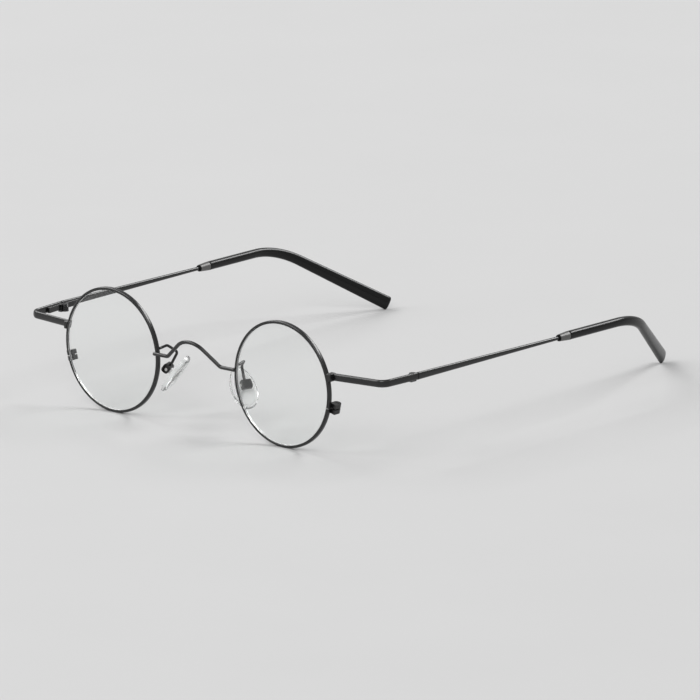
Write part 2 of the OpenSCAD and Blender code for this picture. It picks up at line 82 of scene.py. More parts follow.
# the nodes of one material, or of the world, each made by one call: its type, its settings, its inputs
class Nodes:
    def __init__(self, name, owner=None):
        self.owner = owner or bpy.data.materials.new(name)
        self.owner.use_nodes = True
        self.tree = self.owner.node_tree
        self.tree.nodes.clear()

    def node(self, kind, settings=None, inputs=None, output=0):
        made = self.tree.nodes.new("ShaderNode" + kind)
        for key, value in (settings or {}).items():
            setattr(made, key, value)
        for key, value in (inputs or {}).items():
            if isinstance(value, Value):
                self.tree.links.new(value.socket, made.inputs[key])
            else:
                made.inputs[key].default_value = value
        return Value(self, made.outputs[output]) if made.outputs else None

    def place(self):  # the point of the piece, in millimetres
        return self.node("VectorMath", {"operation": "SCALE"},
                         {0: self.node("TexCoord", output="Object"), "Scale": 1 / mm})

    def stretched(self, vector, factors):
        return self.node("VectorMath", {"operation": "MULTIPLY"}, {0: vector, 1: factors})

    def noise(self, vector, scale, detail=2.0, roughness=0.5):
        return self.node("TexNoise", None, {"Vector": vector, "Scale": scale, "Detail": detail,
                                            "Roughness": roughness})

    # goes smoothly from start to end while the value goes from low to high
    def ramp(self, value, low, high, start=0.0, end=1.0):
        return self.node("MapRange", {"interpolation_type": "SMOOTHSTEP"},
                         {0: value, 1: low, 2: high, 3: start, 4: end})

    def mix(self, factor, first, second):  # inputs 6 and 7 and output 2 are the colours of a Mix node
        return self.node("Mix", {"data_type": "RGBA"}, {0: factor, 6: first, 7: second}, 2)

    # one part of the piece's own wrap: X runs along the piece, Y is the share of a turn round it
    def wrapPart(self, axis):
        return self.node("SeparateXYZ", None, {0: self.node("UVMap", {"uv_map": "wrap"})}, axis)

    # the wrap as a point on a tube, so that a noise on it closes round the piece
    def tube(self, stretch, radius):
        angle = self.wrapPart("Y") * (2 * math.pi)
        across = [self.node("Math", {"operation": trig}, {0: angle}) * radius
                  for trig in ("COSINE", "SINE")]
        return self.node("CombineXYZ", None,
                         {0: across[0], 1: across[1], 2: self.wrapPart("X") * stretch})

    def bump(self, height, depth):  # depth in millimetres
        return self.node("Bump", None, {"Height": height, "Distance": depth * mm, "Strength": 1.0})

    def surface(self, inputs):
        return self.node("BsdfPrincipled", None, inputs)

    # lamps, and the light that matt surfaces gather, pass straight through a clear piece
    def clear(self, shader, tint):
        through = self.node("BsdfTransparent", None, {0: tint})
        for kind in ("Diffuse", "Shadow"):
            ray = self.node("LightPath", output=f"Is {kind} Ray")
            shader = self.node("MixShader", None, {0: ray, 1: shader, 2: through})
        return shader

    def finish(self, shader):
        self.node("OutputMaterial", None, {"Surface": shader})
        return self.owner


def grey(level, warmth=0.0):  # the warmer, the more red and the less blue
    return (level * (1 + warmth), level, level * (1 - warmth), 1.0)


def swing(noise, amount):  # a noise's swing about its middle, times the amount
    return amount * (noise - 0.5)


# In a look, dark and light are greys (level, warmth) or colours, and shade is the light that a clear
# piece lets through onto matt surfaces. A noise is (scale per millimetre, detail, roughness), a tube is
# (stretch along it, radius in millimetres), a ramp is (start, end), and depth is the whole relief's, in
# millimetres. Names that end in Rough, Relief or Share say how much a noise or a ramp counts.
# the lighter grey along the edges is partly wear and partly a painted highlight
metalLook = {"dark": (0.006, -0.03), "light": (0.0104, -0.02), "metallic": 0.1, "ior": 1.52,
             "roughness": 0.22, "cloud": (0.16, 3.0), "grain": (11.0, 3.0, 0.6), "grainRelief": 0.6,
             "drawn": (2.2, 2.0), "drawnTube": (0.05, 6.0), "drawnRelief": 0.4, "noiseRough": 0.10,
             "scuff": (2.4, 4.0, 0.7), "scuffRamp": (0.62, 0.74), "scuffRough": 0.10,
             "patch": (0.8, 3.0), "patchLeast": 0.55, "patchMore": 0.9, "wearAndSheenRamp": (0.55, 1.1),
             "wearAndSheenGrey": 0.05, "wearAndSheenShare": 0.5, "wearAndSheenRough": -0.08, "depth": 0.0016}


# black lacquer on drawn wire: cloudy, finely grained and scuffed, and lighter in patches along its edges,
# partly as wear and partly as a painted highlight
def blackMetal():
    nodes, look = Nodes("black_metal"), metalLook
    place = nodes.place()
    cloud = nodes.noise(place, *look["cloud"])
    grain = nodes.noise(place, *look["grain"])
    drawn = nodes.noise(nodes.tube(*look["drawnTube"]), *look["drawn"])
    scuff = nodes.ramp(nodes.noise(place, *look["scuff"]), *look["scuffRamp"])
    patch = look["patchLeast"] + look["patchMore"] * nodes.noise(place, *look["patch"])
    edge = nodes.node("Attribute", {"attribute_name": "edge"}, output="Fac")
    wearAndSheen = nodes.ramp(edge * patch, *look["wearAndSheenRamp"])
    colour = nodes.mix(cloud, grey(*look["dark"]), grey(*look["light"]))
    # a lighter grey along the edges: partly wear, partly a painted highlight
    colour = nodes.mix(wearAndSheen * look["wearAndSheenShare"], colour, grey(look["wearAndSheenGrey"]))
    roughness = (look["roughness"] + swing(cloud, look["noiseRough"]) + swing(grain, look["noiseRough"])
                 + swing(drawn, look["noiseRough"]) + look["scuffRough"] * scuff
                 + look["wearAndSheenRough"] * wearAndSheen)
    relief = nodes.bump(grain * look["grainRelief"] + drawn * look["drawnRelief"], look["depth"])
    return nodes.finish(nodes.surface({
        "Base Color": colour, "Metallic": look["metallic"], "Roughness": roughness,
        "IOR": look["ior"], "Normal": relief}))


# black and its ramp along the ferrule paint shade over the ferrule's front end
ferruleLook = {"dark": (0.12, 0.01), "light": (0.18, 0.01), "black": 0.012, "paintedShadeEnd": (0.75, 0.85),
               "roughness": 0.45, "turned": (1.6, 3.0, 0.65), "turnedTube": (7.0, 0.12),
               "turnedShare": 0.6, "turnedRough": 0.16, "cloud": (0.7, 2.0), "cloudShare": 0.4,
               "cloudRough": 0.08, "depth": 0.003}


# satin metal, turned: fine rings round the piece, and painted shade: a black band over its front end,
# where its chamfer shows dark
def satinMetal():
    nodes, look = Nodes("satin_metal"), ferruleLook
    turnings = nodes.noise(nodes.tube(*look["turnedTube"]), *look["turned"])
    cloud = nodes.noise(nodes.place(), *look["cloud"])
    tone = turnings * look["turnedShare"] + cloud * look["cloudShare"]
    satin = nodes.mix(tone, grey(*look["dark"]), grey(*look["light"]))
    # painted shade: the ferrule's front end is painted black
    colour = nodes.mix(nodes.ramp(nodes.wrapPart("X"), *look["paintedShadeEnd"]), grey(look["black"]), satin)
    roughness = look["roughness"] + swing(turnings, look["turnedRough"]) + swing(cloud, look["cloudRough"])
    return nodes.finish(nodes.surface({
        "Base Color": colour, "Metallic": 1.0, "Roughness": roughness,
        "Normal": nodes.bump(turnings, look["depth"])}))


screwLook = {"dark": (0.493, 0.01), "light": (0.638, 0.01), "roughness": 0.24, "fine": (14.0, 3.0, 0.6),
             "fineRough": 0.16, "cloud": (1.8, 2.0), "cloudRough": 0.10, "depth": 0.0015}


# bright screw metal: a fine grain, and a faint cloud in its tone
def steel():
    nodes, look = Nodes("bright_steel"), screwLook
    place = nodes.place()
    fine = nodes.noise(place, *look["fine"])
    cloud = nodes.noise(place, *look["cloud"])
    colour = nodes.mix(cloud, grey(*look["dark"]), grey(*look["light"]))
    roughness = look["roughness"] + swing(fine, look["fineRough"]) + swing(cloud, look["cloudRough"])
    return nodes.finish(nodes.surface({
        "Base Color": colour, "Metallic": 1.0, "Roughness": roughness,
        "Normal": nodes.bump(fine, look["depth"])}))


# the seam's ramp is a share of a turn round the tip, away from the middle of the parting line
tipLook = {"dark": (0.0032, -0.03), "light": (0.005, -0.03), "ior": 1.35, "roughness": 0.19,
           "ripple": (0.45, 2.0), "rippleRelief": 6.0, "skin": (7.0, 3.0, 0.6), "skinRelief": 0.5,
           "skinRough": 0.05, "handled": (0.55, 4.0, 0.65), "handledRamp": (0.48, 0.72),
           "handledRough": 0.07, "seamRamp": (0.0, 0.006), "seamRelief": 2.5, "seamRough": 0.06,
           "depth": 0.0022}


# moulded black plastic: faint ripple, a fine parting line along top and bottom, light handling marks
def glossPlastic():
    nodes, look = Nodes("gloss_plastic"), tipLook
    place = nodes.place()
    ripple = nodes.noise(place, *look["ripple"])
    skin = nodes.noise(place, *look["skin"])
    handled = nodes.ramp(nodes.noise(place, *look["handled"]), *look["handledRamp"])
    quarterTurn = 0.25
    fromSeam = nodes.node("Math", {"operation": "PINGPONG"},
                          {0: nodes.wrapPart("Y") + quarterTurn, 1: quarterTurn})
    seam = nodes.ramp(fromSeam, *look["seamRamp"], 1.0, 0.0)
    colour = nodes.mix(ripple, grey(*look["dark"]), grey(*look["light"]))
    roughness = (look["roughness"] + look["handledRough"] * handled + swing(skin, look["skinRough"])
                 + look["seamRough"] * seam)
    height = ripple * look["rippleRelief"] + skin * look["skinRelief"] + seam * look["seamRelief"]
    return nodes.finish(nodes.surface({
        "Base Color": colour, "Roughness": roughness, "IOR": look["ior"],
        "Normal": nodes.bump(height, look["depth"])}))


lensLook = {"tint": (0.975, 0.985, 0.98, 1.0), "shade": (0.93, 0.94, 0.935, 1.0), "ior": 1.36,
            "roughness": 0.004, "smudge": (0.9, 5.0, 0.7), "smudgeStretch": (0.22, 0.4, 0.5),
            "smudgeRamp": (0.50, 0.78), "smudgeRough": 0.05, "speck": (3.2, 2.0),
            "speckRamp": (0.74, 0.80), "speckRough": 0.05}


# polished lens with faint smudges and specks
def lensFace():
    nodes, look = Nodes("lens_face"), lensLook
    place = nodes.place()
    smear = nodes.noise(nodes.stretched(place, look["smudgeStretch"]), *look["smudge"])
    smudge = nodes.ramp(smear, *look["smudgeRamp"])
    speck = nodes.ramp(nodes.noise(place, *look["speck"]), *look["speckRamp"])
    roughness = look["roughness"] + look["smudgeRough"] * smudge + look["speckRough"] * speck
    glass = nodes.surface({
        "Base Color": look["tint"], "Roughness": roughness, "IOR": look["ior"],
        "Transmission Weight": 1.0})
    return nodes.finish(nodes.clear(glass, look["shade"]))


edgeLook = {"tint": (0.93, 0.95, 0.94, 1.0), "shade": (0.8, 0.8, 0.8, 1.0), "ior": 1.5, "roughness": 0.42,
            "ground": (6.0, 4.0, 0.6), "groundRough": 0.2, "depth": 0.004}


# the ground ridge round the lens
def lensEdge():
    nodes, look = Nodes("lens_edge"), edgeLook
    ground = nodes.noise(nodes.place(), *look["ground"])
    roughness = look["roughness"] + swing(ground, look["groundRough"])
    glass = nodes.surface({
        "Base Color": look["tint"], "Roughness": roughness, "IOR": look["ior"],
        "Transmission Weight": 1.0, "Normal": nodes.bump(ground, look["depth"])})
    return nodes.finish(nodes.clear(glass, look["shade"]))


siliconeLook = {"tint": (0.985, 0.992, 0.99, 1.0), "shade": (0.96, 0.965, 0.963, 1.0), "ior": 1.41,
                "clearness": 0.93, "roughness": 0.08, "soft": (0.8, 3.0), "softRelief": 4.0,
                "softRough": 0.10, "skin": (5.0, 3.0, 0.6), "skinRelief": 0.4, "skinRough": 0.05,
                "depth": 0.003}


# soft clear silicone with a slightly uneven skin
def clearSilicone():
    nodes, look = Nodes("clear_silicone"), siliconeLook
    place = nodes.place()
    soft = nodes.noise(place, *look["soft"])
    skin = nodes.noise(place, *look["skin"])
    roughness = look["roughness"] + swing(soft, look["softRough"]) + swing(skin, look["skinRough"])
    relief = nodes.bump(soft * look["softRelief"] + skin * look["skinRelief"], look["depth"])
    gel = nodes.surface({
        "Base Color": look["tint"], "Roughness": roughness, "IOR": look["ior"],
        "Transmission Weight": look["clearness"], "Normal": relief})
    return nodes.finish(nodes.clear(gel, look["shade"]))


frostedLook = {"dark": (0.95, 0.955, 0.95, 1.0), "light": (0.985, 0.99, 0.985, 1.0), "ior": 1.49,
               "roughness": 0.32, "flow": (1.2, 3.0), "flowStretch": (1.6, 1.6, 0.4),
               "fine": (12.0, 2.0), "fineRough": 0.14, "milky": 0.25, "milkyReach": (mm, mm, mm),
               "depth": 0.003}


# milky plastic with a fine grain, and faint flow marks up the pad
def frostedPlastic():
    nodes, look = Nodes("frosted_plastic"), frostedLook
    place = nodes.place()
    flow = nodes.noise(nodes.stretched(place, look["flowStretch"]), *look["flow"])
    fine = nodes.noise(place, *look["fine"])
    return nodes.finish(nodes.surface({
        "Base Color": nodes.mix(flow, look["dark"], look["light"]), "IOR": look["ior"],
        "Roughness": look["roughness"] + swing(fine, look["fineRough"]),
        "Subsurface Weight": look["milky"], "Subsurface Radius": look["milkyReach"],
        "Subsurface Scale": 1.0, "Normal": nodes.bump(fine, look["depth"])}))


looks = {"metal": blackMetal(), "satin": satinMetal(), "steel": steel(), "plastic": glossPlastic(),
         "lens": lensFace(), "edge": lensEdge(), "silicone": clearSilicone(), "frosted": frostedPlastic()}
print("materials made")

# How finely curves are divided: the steps of the arc in an outline's corner, those of the arc that
# rounds an edge off, and the points round a wire. Past the sharp angle, in degrees, the shading breaks.
fineness = {"corner": 4, "edge": 5, "wire": 32, "sharp": 38}


def unit(vectors):  # each vector over its own length
    return vectors / np.linalg.norm(vectors, axis=-1, keepdims=True)


def turned(points, axis, degrees):  # the points times the matrix of a turn about one axis
    return points @ np.array(Matrix.Rotation(math.radians(degrees), 3, axis)).T


# a vector spun about a unit axis by several angles: the part along the axis stays, and the rest goes
# round with cosine and sine
def spun(vector, axis, angles):
    cosine, sine = np.cos(angles)[:, None], np.sin(angles)[:, None]
    return vector * cosine + np.cross(axis, vector) * sine + axis * ((axis @ vector) * (1 - cosine))


# a quarter circle of radius 1 between an end face and a side: how far each step lies behind the face,
# 1 - cosine, and how far inside the side, 1 - sine
def quarter(steps):
    angles = np.radians(np.linspace(0, 90, steps))
    return 1 - np.cos(angles), 1 - np.sin(angles)


# a closed outline with an arc in each corner, whose centre lies on the corner's bisector at the radius
# over the sine of half the corner's angle; each point is marked from 0 at an arc's ends to 1 in its middle
def rounded(corners, radii, steps=fineness["corner"]):
    corners, radii = np.array(corners, float), np.array(radii, float)[:, None, None]
    before, after = unit(np.roll(corners, 1, 0) - corners), unit(np.roll(corners, -1, 0) - corners)
    half = np.arccos(np.clip((before * after).sum(1), -1, 1))[:, None, None] / 2
    centre = corners[:, None] + unit(before + after)[:, None] * radii / np.sin(half)
    start = corners[:, None] + before[:, None] * radii / np.tan(half) - centre
    end = corners[:, None] + after[:, None] * radii / np.tan(half) - centre
    share, sweep = np.linspace(0, 1, steps + 1)[None, :, None], math.pi - 2 * half
    arc = centre + (np.sin((1 - share) * sweep) * start + np.sin(share * sweep) * end) / np.sin(sweep)
    edge = np.broadcast_to(np.sin(math.pi * share), arc.shape[:2] + (1,))
    return arc.reshape(-1, 2), edge.reshape(-1)


# superellipses, one for each width, height and shape: half the size times the cosine or the sine to the
# power of 2 over the shape, so that 2 is an ellipse and the sides are the flatter the higher the shape
def ovals(width, height, shape, points, start=0.0):
    width, height, shape = (size[..., None] for size in np.broadcast_arrays(width, height, shape))
    angles = (np.arange(points) + start) * 2 * math.pi / points
    x, y = (np.sign(wave) * np.abs(wave) ** (2 / shape) for wave in (np.cos(angles), np.sin(angles)))
    return np.stack([width / 2 * x, height / 2 * y], -1)


def circle(diameter):  # the superellipse of shape 2 with equal sides
    return ovals(diameter, diameter, 2, fineness["wire"])


# rings of an outline along a path: straight between its corners, and in each corner on an arc of its
# radius, where the heading and the upward vector are spun; no two rings of an arc lie more than the bend
# step in degrees apart, and both ends of the bar are rounded off
def barRings(path, radii, outline, up, ending, bendStep):
    path = np.array(path, float)
    heading = unit(np.diff(path, axis=0))
    upward = unit(np.array(up, float) - heading[0] * (heading[0] @ up))
    back, inset = (ending * part[:, None] for part in quarter(fineness["edge"]))
    same = np.ones((len(back), 1))
    places, headings, ups = [path[0] + back * heading[0]], [same * heading[0]], [same * upward]
    for corner, radius, before, after in zip(path[1:-1], radii, heading[:-1], heading[1:]):
        axis, turn = unit(np.cross(before, after)), math.acos(before @ after)
        outward = np.cross(before, axis)
        centre = corner - radius * math.tan(turn / 2) * before - radius * outward
        angles = np.linspace(0, turn, math.ceil(math.degrees(turn) / bendStep) + 1)
        places.append(centre + radius * spun(outward, axis, angles))
        headings.append(spun(before, axis, angles))
        ups.append(spun(upward, axis, angles))
        upward = ups[-1][-1]
    places.append((path[-1] - back * heading[-1])[::-1])
    headings.append(same * heading[-1])
    ups.append(same * upward)
    places, headings, ups = (np.concatenate(parts) for parts in (places, headings, ups))
    reach = np.abs(outline).max(0)
    scale = np.ones((len(places), 2))
    scale[:len(back)] = (reach - inset) / reach
    scale[-len(back):] = scale[:len(back)][::-1]
    upward = unit(ups - headings * (ups * headings).sum(1, keepdims=True))
    across = np.cross(headings, upward)
    shape = outline * scale[:, None]
    return places[:, None] + shape[..., :1] * across[:, None] + shape[..., 1:] * upward[:, None]


# rings made by turning a profile of (radius, height) about the axis of the lens or the ferrule: the
# radius goes round with cosine and sine, and the height stays
def turnedRings(profile, steps):
    angles = np.arange(steps) * 2 * math.pi / steps
    radius, height = profile[:, None, 0], profile[:, None, 1]
    return np.stack([radius * np.cos(angles), height + 0 * angles, radius * np.sin(angles)], -1)


# how far along the piece each ring lies: the steps between the rings' middles, added up, or, in a
# profile that closes on itself, between their first points
def runLength(rings, joined):
    path = rings[:, 0] if joined else rings.mean(1)
    steps = np.linalg.norm(np.diff(path, axis=0, append=path[:1]), axis=1)
    return np.concatenate([[0], np.cumsum(steps)])


# faces and their wrap for a grid of rings: each quad joins a point, its neighbour on the ring, and the
# two points behind them on the next ring
def gridFaces(rings, along, joined):
    count, n = rings.shape[:2]
    i, j = np.meshgrid(np.arange(count if joined else count - 1), np.arange(n), indexing="ij")
    beside, behind = (j + 1) % n, (i + 1) % count
    faces = np.stack([i * n + j, i * n + beside, behind * n + beside, behind * n + j], -1)
    u = np.stack([along[i], along[i], along[i + 1], along[i + 1]], -1)
    v = np.stack([j, j + 1, j + 1, j], -1) / n
    return faces.reshape(-1, 4), np.stack([u, v], -1).reshape(-1, 4, 2)


# the sum of a . (b x c) over triangles, which is six times the volume between them and the origin
def sixVolumes(a, b, c):
    return (a * np.cross(b, c)).sum()


# puts an object into the scene
def addObject(name, data):
    made = bpy.data.objects.new(name, data)
    bpy.context.scene.collection.objects.link(made)
    return made


# a closed mesh from one or more grids of rings, in the design frame; where its volume comes out
# negative, the order of each face's points is turned round, so that the faces point outwards. For each
# point of a ring, edge says how near it is to an edge where the paint wears and a painted highlight
# lightens it; for each ring, along says how far along the piece it lies; for each gap between two
# rings, band says which material it has.
def shell(name, grids, side, body, node, materials, edge=0.0, along=None, joined=False, band=0):
    points, faces, wraps, marks, indices, start = [], [], [], [], [], 0
    for rings in grids:
        count, n = rings.shape[:2]
        run = runLength(rings, joined) if along is None else along
        quads, wrap = gridFaces(rings, run, joined)
        flat = rings.reshape(-1, 3)
        a, b, c, d = (flat[quads[:, corner]] for corner in range(4))
        volume = sixVolumes(a, b, c) + sixVolumes(a, c, d)
        caps = [] if joined else [np.arange(n)[::-1], np.arange(n) + (count - 1) * n]
        for cap in caps:
            volume += sixVolumes(flat[cap[0]], flat[cap[1:-1]], flat[cap[2:]])
        order = slice(None, None, -1 if volume * side < 0 else 1)
        faces += (quads[:, order] + start).tolist() + [(cap[order] + start).tolist() for cap in caps]
        wraps += [wrap[:, order].reshape(-1, 2)]
        wraps += [np.stack([run[cap // n], cap % n / n], -1)[order] for cap in caps]
        marks.append(np.tile(np.broadcast_to(edge, n), count))
        indices.append(np.repeat(np.broadcast_to(band, len(quads) // n), n))
        indices.append(np.zeros(len(caps), int))
        points.append(flat)
        start += len(flat)
    points = (np.concatenate(points) * (side, 1, 1) + (0, originY, 0)) * mm
    mesh = bpy.data.meshes.new(name)
    mesh.from_pydata(points.tolist(), [], faces)
    wrapLayer = mesh.uv_layers.new(name="wrap")
    wrapLayer.uv.foreach_set("vector", np.concatenate(wraps).astype(np.float32).ravel())
    mark = mesh.attributes.new("edge", "FLOAT", "POINT")
    mark.data.foreach_set("value", np.concatenate(marks).astype(np.float32))
    for material in materials:
        mesh.materials.append(looks[material])
    mesh.polygons.foreach_set("material_index", np.concatenate(indices).astype(np.int32))
    mesh.shade_smooth()
    mesh.set_sharp_from_angle(angle=math.radians(fineness["sharp"]))
    piece = addObject(name, mesh)
    even = piece.modifiers.new("even_normals", "WEIGHTED_NORMAL")
    even.keep_sharp = True
    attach(piece, body)
    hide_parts(node)


# The front: rims, lenses, bridge and endpieces.
rimSize = {"groove": 0.42, "gap": 0.03, "outerRound": 0.34, "innerRound": 0.2, "lipRound": 0.05,
           "rootRound": 0.04, "slit": 0.3, "lockAngle": 14, "rings": 300}
rimInnerR = lensR - rimSize["groove"]


# the wire's profile, with the V groove for the lens in its inner side, goes round the lens's middle from
# one side of the slit to the other
def rim(side):
    size = rimSize
    middle, half = rimDepth / 2, size["groove"] + size["gap"]
    inner, outer, lip = size["innerRound"], size["outerRound"], size["lipRound"]
    profile, edge = rounded(
        [(rimInnerR, 0), (rimOuterR, 0), (rimOuterR, rimDepth), (rimInnerR, rimDepth),
         (rimInnerR, middle + half), (lensR + size["gap"], middle), (rimInnerR, middle - half)],
        [inner, outer, outer, inner, lip, size["rootRound"], lip])
    slit = math.asin(size["slit"] / 2 / rimInnerR)
    turn = np.linspace(slit, 2 * math.pi - slit, size["rings"])[:, None] + math.radians(size["lockAngle"])
    rings = np.stack([lensX + profile[:, 0] * np.cos(turn), profile[:, 1] + 0 * turn,
                      lensZ - profile[:, 0] * np.sin(turn)], -1)
    shell(f"round_rim_{side}", [rings], sides[side], "front", f"rim_{side}", ["metal"], edge,
          along=turn[:, 0] * rimOuterR)


lensSize = {"curve": 130, "thick": 1.2, "gap": 0.03, "ridgeFlat": 0.03, "pole": 0.002, "arcs": 26,
            "steps": 216}


# turned from its front curve, the ridge on its edge and its back curve; both curves are arcs of the same
# radius, whose sag is the radius less the root of its square less the distance's square
def lens(side):
    size = lensSize
    edgeR, middle = rimInnerR - size["gap"], rimDepth / 2
    radii = np.concatenate([[size["pole"]], np.linspace(0, edgeR, size["arcs"])[1:]])

    def sag(distance):
        return size["curve"] - np.sqrt(size["curve"] ** 2 - distance ** 2)

    face = middle - sag(edgeR) + sag(radii)
    front = np.stack([radii, face - size["thick"] / 2], -1)
    back = np.stack([radii, face + size["thick"] / 2], -1)[::-1]
    groove, flat = rimSize["groove"], size["ridgeFlat"]
    ridge = np.array([(edgeR, middle - groove), (lensR - flat, middle - flat), (lensR, middle),
                      (lensR - flat, middle + flat), (edgeR, middle + groove)])
    profile = np.concatenate([front, ridge, back])
    rings = turnedRings(profile, size["steps"]) + (lensX, 0, lensZ)
    band = np.zeros(len(profile) - 1, int)
    band[size["arcs"] - 1:size["arcs"] + len(ridge)] = 1  # the ridge has the ground edge's material
    shell(f"clear_lens_{side}", [rings], sides[side], "front", f"lens_{side}", ["lens", "edge"],
          band=band, along=np.arange(float(len(profile))))


bridgeSize = {"wire": 1.1, "rise": 1.7, "foot": 5.6, "slope": 40, "saddle": 8, "bend": 1.6, "lean": 16,
              "gap": 0.02, "ending": 0.25, "bendStep": 3}


# a level foot from each rim's front, then both sides rise at the slope to an apex above the nose, all
# bent with a radius and leaning forward
def bridge():
    size = bridgeSize
    endX = lensX - math.sqrt(rimInnerR ** 2 - size["rise"] ** 2)
    bendX = endX - size["foot"]
    y, z = -size["wire"] / 2 - size["gap"], lensZ + size["rise"]
    apex, lean = bendX * math.tan(math.radians(size["slope"])), math.radians(size["lean"])
    half = [(endX, y, z), (bendX, y, z)]
    path = half + [(0, y - apex * math.sin(lean), z + apex * math.cos(lean))]
    path += [(-x, y, z) for x, y, z in half[::-1]]
    rings = barRings(path, [size["bend"], size["saddle"], size["bend"]], circle(size["wire"]), (0, 1, 0),
                     size["ending"], size["bendStep"])
    shell("bridge_wire", [rings], 1, "front", "bridge", ["metal"])


endpieceSize = {"width": 138.5, "height": 2.2, "thick": 1.1, "shape": 2.3, "rise": 4.7, "sweep": 7.3,
                "corner": 2.8, "return": 12.8, "splay": 4.8, "inset": 0.1, "ending": 0.08,
                "lugWidth": 1.2, "lugHeight": 2.3, "lugDepth": 2.65, "lugRound": 0.3, "lugEdge": 0.25,
                "buttGap": 0.12, "gap": 0.02, "bendStep": 3, "points": 40}
bandZ = lensZ + endpieceSize["rise"]
lugX = lensX + math.sqrt(rimOuterR ** 2 - endpieceSize["rise"] ** 2) + endpieceSize["lugWidth"]
bandY = endpieceSize["lugDepth"] - endpieceSize["thick"] / 2 - endpieceSize["inset"]
bandSlope = math.tan(math.radians(endpieceSize["sweep"]))
bandCorner = np.array([endpieceSize["width"] / 2,
                       bandY + (endpieceSize["width"] / 2 - lugX) * bandSlope, bandZ])
splayed = math.radians(endpieceSize["splay"])
backward = np.array([math.sin(splayed), math.cos(splayed), 0])
butt = bandCorner + endpieceSize["return"] * backward  # the middle of the joint that the hinge bridges


# a flat band from the lug round the corner to the hinge, and the lug: the rounded outline that it shows
# from the side, set against the rim's outside and carried outwards, where its edge is rounded off
def endpiece(side):
    size = endpieceSize
    outline = ovals(size["thick"], size["height"], size["shape"], size["points"], start=0.5)
    start = (lugX - size["lugWidth"] / 2, bandY - size["lugWidth"] / 2 * bandSlope, bandZ)
    finish = butt - size["buttGap"] / 2 * backward
    bandRings = barRings([start, bandCorner, finish], [size["corner"]], outline, (0, 0, 1), size["ending"],
                         size["bendStep"])
    depth, halfHeight = size["lugDepth"], size["lugHeight"] / 2
    steps = size["points"] // 4 - 1  # which gives the lug's outline as many points as the band's
    face, edge = rounded([(0, -halfHeight), (depth, -halfHeight), (depth, halfHeight), (0, halfHeight)],
                         [size["lugRound"]] * 4, steps)
    middle, half = np.array([depth / 2, 0]), np.array([depth / 2, halfHeight])
    back, inset = (size["lugEdge"] * part[::-1] for part in quarter(fineness["edge"]))
    rows = [face] + [middle + (face - middle) * (half - step) / half for step in inset]
    rimSide = np.sqrt((rimOuterR + size["gap"]) ** 2 - (bandZ + face[:, 1] - lensZ) ** 2)
    outward = [lensX + rimSide] + [np.full(len(face), lugX - step) for step in back]
    lugRings = np.stack([np.stack([x, row[:, 0], bandZ + row[:, 1]], -1) for x, row in zip(outward, rows)])
    shell(f"end_band_{side}", [bandRings, lugRings], sides[side], "front", f"endpiece_{side}",
          ["metal"], edge)


for side in sides:
    rim(side)
    lens(side)
    endpiece(side)
bridge()
print("front made")

# The temples: arm, ferrule and tip, on one middle line.
templeSize = {"length": 132, "height": 2.2, "thick": 1.1, "core": 1.1, "coreInTip": 52, "splay": 0.7,
              "bendStart": 83, "bendR": 24, "bendAngle": 41, "twist": 41, "flatness": 2.3, "rounding": 1.5,
              "ending": 0.08, "endingSteps": 4, "clearOfEnds": 1, "rings": 24, "bendRings": 20,
              "points": 48, "steepest": 2.0, "halvings": 40}
ferruleSize = {"start": 58.5, "length": 4.5, "front": 2, "over": 0.1, "gap": 0.04, "noseIn": 0.25,
               "noseBack": 0.4, "neckOut": 0.05, "neckBack": 0.9, "hipIn": 0.02, "hipBack": 0.6,
               "heel": 0.2, "rounds": (0.04, 0.1, 0.12, 0.6, 0.5, 0.12, 0.1, 0.04), "steps": 72}
tipSize = {"height": 2.6, "thick": 2.4, "endHeight": 4.2, "endThick": 2, "shape": 2.3, "end": 0.8,
           "edge": 0.15, "clearOfLip": 1, "clearOfCore": 0.3, "gap": 0.02, "rings": 80, "endSteps": 10,
           "points": 56}
ferruleEnd = ferruleSize["start"] + ferruleSize["length"]
coreEnd = ferruleEnd + templeSize["coreInTip"]
bendLength = templeSize["bendR"] * math.radians(templeSize["bendAngle"])
bendEnd = templeSize["bendStart"] + bendLength


# superellipses across the temple's middle line at the distances along it, before the temple is put in
# its place; the line runs straight, then on an arc inwards and down, then straight on
def templeRings(distance, height, thick, shape, points):
    size = templeSize
    whole, twist = math.radians(size["bendAngle"]), math.radians(size["twist"])
    bent = np.clip((distance - size["bendStart"]) / bendLength, 0, 1) * whole
    rest = np.maximum(distance - bendEnd, 0)
    along = np.minimum(distance, size["bendStart"]) + size["bendR"] * np.sin(bent) + rest * math.cos(whole)
    drop = size["bendR"] * (1 - np.cos(bent)) + rest * math.sin(whole)
    inward = np.array([-math.sin(twist), 0, -math.cos(twist)])
    across = np.array([-math.cos(twist), 0, math.sin(twist)])
    tilted = inward * np.cos(bent)[:, None] - np.array([0, 1, 0]) * np.sin(bent)[:, None]
    flat = ovals(thick, height, shape, points) @ np.array([(1, 0, 0), (0, 0, 1)])
    centre = along[:, None] * np.array([0, 1, 0]) + drop[:, None] * inward
    return (centre[:, None] + (flat @ inward)[..., None] * tilted[:, None]
            + (flat @ across)[..., None] * across)


# the tip's rings at the distances along it, drawn in by the insets: from the bend on, the height and
# thickness change evenly to those of the end
def tipRings(distance, inset):
    size = tipSize
    grow = np.clip((distance - templeSize["bendStart"]) / (templeSize["length"] - templeSize["bendStart"]),
                   0, 1)
    height = size["height"] + (size["endHeight"] - size["height"]) * grow - 2 * inset
    thick = size["thick"] + (size["endThick"] - size["thick"]) * grow - 2 * inset
    return templeRings(distance, height, thick, size["shape"], size["points"])


